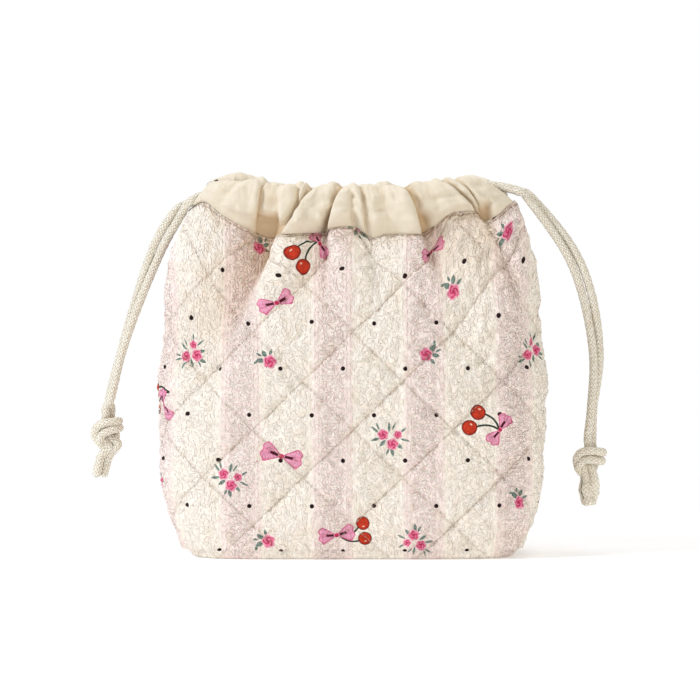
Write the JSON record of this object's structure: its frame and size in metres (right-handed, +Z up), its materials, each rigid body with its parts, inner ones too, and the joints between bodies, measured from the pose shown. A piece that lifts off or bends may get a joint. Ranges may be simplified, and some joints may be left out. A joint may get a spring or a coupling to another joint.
{
  "type": "drawstring pouch",
  "caption": "Quilted cotton drawstring pouch standing full on a boxed base, with a gathered plain casing and a knotted braided cord hanging at each side.",
  "frame": {"origin": "middle of the base, on the surface the pouch stands on, measured without the cords", "axes": "+Z up, the front faces -Y, +X to the right of a viewer in front"},
  "size_m": [0.2775, 0.105, 0.205],
  "materials": {
    "quilted_cotton": "crinkled quilted cotton with a small print",
    "plain_cotton": "plain woven cotton",
    "braided_cotton": "round braid"
  },
  "bodies": {
    "root": {"front_panel": "quilted_cotton", "back_panel": "quilted_cotton", "front_casing": "plain_cotton", "back_casing": "plain_cotton", "left_drawstring": "braided_cotton", "right_drawstring": "braided_cotton", "left_knot": "braided_cotton", "right_knot": "braided_cotton"}
  },
  "joints": []
}
